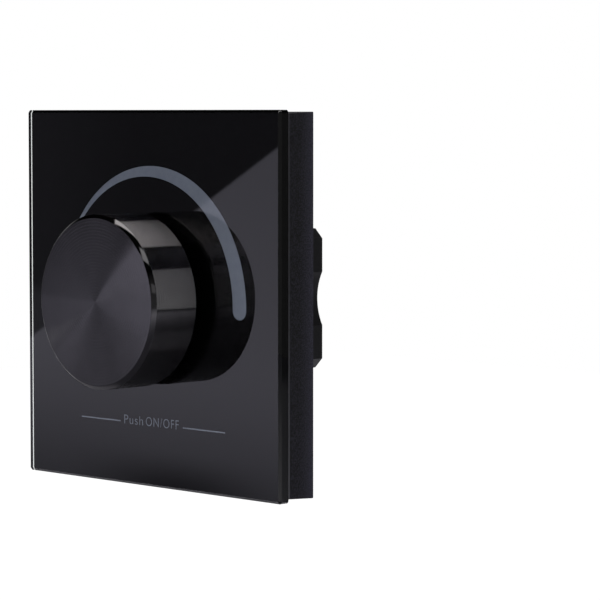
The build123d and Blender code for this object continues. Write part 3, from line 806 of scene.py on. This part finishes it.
def floor_painted_light(place):
    """How pale the floor is, in painted light and shade: painted shade under the panel, painted pools of
    light there, and paler further out.
    """
    x, y = place.axes("XY")
    distance = place.node("VectorMath", {"operation": "LENGTH"}, {0: place}, "Value")
    # Painted shade: darker close to the panel, to the left, to the back right and far to the front
    clear = distance.step(*floor_near_shade) * (x + y).step(*floor_left)
    right = (x + y).step(*floor_right) * (x + y).step(*floor_right_end)
    far = clear * right * (x - y).step(*floor_front_end)
    # Painted pools of light close to the panel
    near = sum(tone * x.band(*along_x) * y.band(*along_y) for tone, along_x, along_y in floor_light_patches)
    return far.math("MAXIMUM", near) + floor_grain_share * place.noise(floor_grain, fine_detail)


def floor():
    """A pale floor, white to the eye and shaded by what stands over it, with painted light and shade and
    glowing patches in what the panel mirrors.
    """
    material, wire = new_material("floor_paper")
    place = place_of(wire)
    x, y = place.axes("XY")
    paper = wire.node("BsdfPrincipled", {}, {
        "Base Color": floor_painted_light(place).between(*floor_colours),
        "Roughness": 1.0,
        "Specular IOR Level": 0.0,
    })
    glow = wire.node("Emission", {}, {"Color": opaque(white), "Strength": floor_glow})
    # Painted light: the floor glows behind the panel and at the front right, where there is no lamp
    front = floor_front_glow * (x - y).band(*floor_front_glow_edges)
    back = (y * math.cos(camera_yaw) - x * math.sin(camera_yaw)).step(*floor_back_glow)
    lit = (back + front).math("MAXIMUM", seen_directly(wire) * floor_seen_glow)
    both = wire.node("MixShader", {}, {0: lit, 1: paper, 2: glow})
    wire.node("OutputMaterial", {}, {"Surface": both})
    bm = bmesh.new()
    bmesh.ops.create_grid(bm, x_segments=1, y_segments=1, size=floor_reach,
                          matrix=Matrix.Translation((0.0, 0.0, cad_low.z - floor_drop)))
    new_piece("floor", bm, material)


def card_light(place):
    """The card's light over its own plane: bright below its slanting edge and dim above it."""
    u, v = place.axes("XY")
    slant = (u - card_edge_through.x) * math.sin(card_edge_slope)
    below = slant - (v - card_edge_through.y) * math.cos(card_edge_slope)
    lit = below.step(-card_edge_soft, card_edge_soft)
    level = v + card_level_lean * (u - card_level_from)
    aside = (u - card_shade_at).math("ABSOLUTE").step(0.0, card_shade_reach, 1.0, 0.0)
    low = (v + card_shade_lean * (u - card_shade_at)).step(*card_shade_height, 1.0, 0.0)
    fall = level.step(*card_level_low) * level.step(*card_level_high) * (1.0 - card_shade * aside * low)
    main = u.step(*card_front_start, 1.0, 0.0)
    bright = fall * card_bright * main + (1.0 - main) * card_front * v.step(*card_front_height)
    dim = card_dim + v.step(*card_dim_low) + u.step(*card_dim_left)
    return lit * bright + (1.0 - lit) * dim


def mirror_card():
    """A glowing card to the left, out of view, with painted light and shade that the glass mirrors: its
    slanting edge shows in the glass.
    """
    material, wire = new_material("mirror_card")
    surface(wire, {
        "Base Color": opaque(black),
        "Specular IOR Level": 0.0,
        "Emission Color": card_light(place_of(wire)).between(black, card_colour),
        "Emission Strength": 1.0,
    })
    bm = bmesh.new()
    middle = Matrix.Translation((0.0, (card_low + card_high) / 2, 0.0))
    flat_sheet(bm, middle @ Matrix.Diagonal((card_width, card_high - card_low, 1.0, 1.0)))
    card = new_piece("mirror_card", bm, material)
    mirror = Matrix.Translation((0.0, 2.0 * glass_low.y, 0.0)) @ Matrix.Scale(-1.0, 4, axis_y)
    turned = Matrix.Rotation(camera_yaw, 4, "Z") @ Matrix.Rotation(quarter_turn + camera_pitch, 4, "X")
    ahead = Matrix.Translation((0.0, 0.0, -card_distance))
    card.matrix_world = mirror @ Matrix.Translation(camera_place) @ turned @ ahead
    card.visible_camera = False


def lamp_rim():
    """The dark rim under the right lamp, down to the floor."""
    material, wire = new_material("lamp_cloth")
    surface(wire, {
        "Base Color": place_of(wire).noise(rim_weave).between(*rim_colours),
        "Roughness": 1.0,
        "Specular IOR Level": 0.0,
    })
    bm = bmesh.new()
    size = Matrix.Diagonal((1.0, rim_width, rim_height, 1.0))
    flat_sheet(bm, Matrix.Translation(rim_place) @ size @ Matrix.Rotation(quarter_turn, 4, "Y"))
    new_piece("lamp_rim", bm, material)


def room():
    """White behind the panel to the eye, and a dim room in what the panel mirrors."""
    world = bpy.data.worlds.new("studio")
    world.use_nodes = True
    world.node_tree.nodes.clear()
    wire = Wire(world.node_tree)
    view = place_of(wire)
    height = view.axes("Z")[0]
    straight_on = (-math.sin(camera_yaw), math.cos(camera_yaw), 0.0)
    behind = wire.node("VectorMath", {"operation": "DOT_PRODUCT"}, {0: view, 1: straight_on}, "Value")
    around = behind.step(*room_behind_panel) + behind.step(*room_behind_camera)
    mirrored = around + height.step(*room_height)
    glossy_ray = wire.node("LightPath", output="Is Glossy Ray")
    seen = seen_directly(wire)
    light = seen + (1.0 - seen) * (glossy_ray * mirrored + (1.0 - glossy_ray) * room_fill)
    back = wire.node("Background", {}, {"Color": light.between(black, white), "Strength": 1.0})
    wire.node("OutputWorld", {}, {"Surface": back})
    bpy.context.scene.world = world


finishes = make_finishes()
dress_nodes(finishes)
turned_knob(finishes["knob_metal"])
spring_disc(finishes["spring_steel"])
black_print(ink("black_ink", *black_ink))
level_arc(ink("grey_ink", *grey_ink))
legend_ink = ink("pale_ink", *pale_ink)
for word, left, right in legend_words:
    legend_word(word, left, right, legend_ink)
for side, start, end in legend_rules:
    legend_rule(side, start, end, legend_ink)
floor()
mirror_card()
room()
for lamp in lamps:
    softbox(*lamp)
lamp_rim()
camera()
bpy.context.scene.view_settings.view_transform = "Standard"
